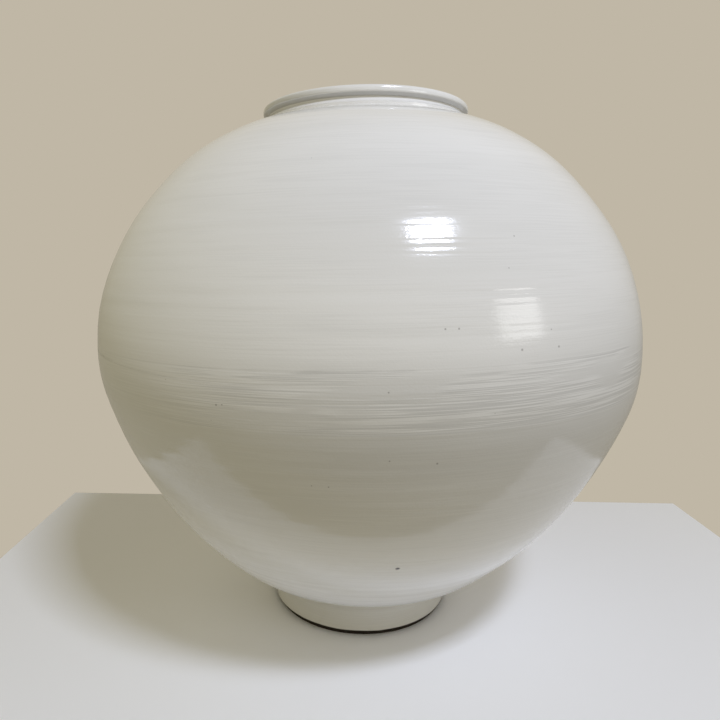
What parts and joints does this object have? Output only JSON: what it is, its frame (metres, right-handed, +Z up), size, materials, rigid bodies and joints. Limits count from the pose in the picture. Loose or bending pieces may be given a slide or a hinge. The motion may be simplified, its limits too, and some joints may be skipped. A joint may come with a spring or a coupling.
{
  "type": "moon jar",
  "caption": "Large round white porcelain jar thrown as two bowls luted at the belly, with a low rolled mouth and a plain foot ring.",
  "frame": {"origin": "middle of the foot ring's resting face, under the middle of the belly", "axes": "+Z up, the front faces -Y, and the upper bowl leans 2.8 degrees towards -X"},
  "size_m": [0.4603, 0.46, 0.449],
  "materials": {
    "white_glaze": "clear glossy glaze over white porcelain, bare clay on the foot's edge",
    "glazed_slip": "fired porcelain slip, glazed over where it shows"
  },
  "bodies": {
    "root": {"lower_bowl": "white_glaze", "upper_bowl": "white_glaze", "mouth_collar": "white_glaze", "foot_ring": "white_glaze", "seam_coil": "white_glaze", "waist_slip": "glazed_slip", "collar_slip": "glazed_slip", "foot_slip": "glazed_slip"}
  },
  "joints": []
}
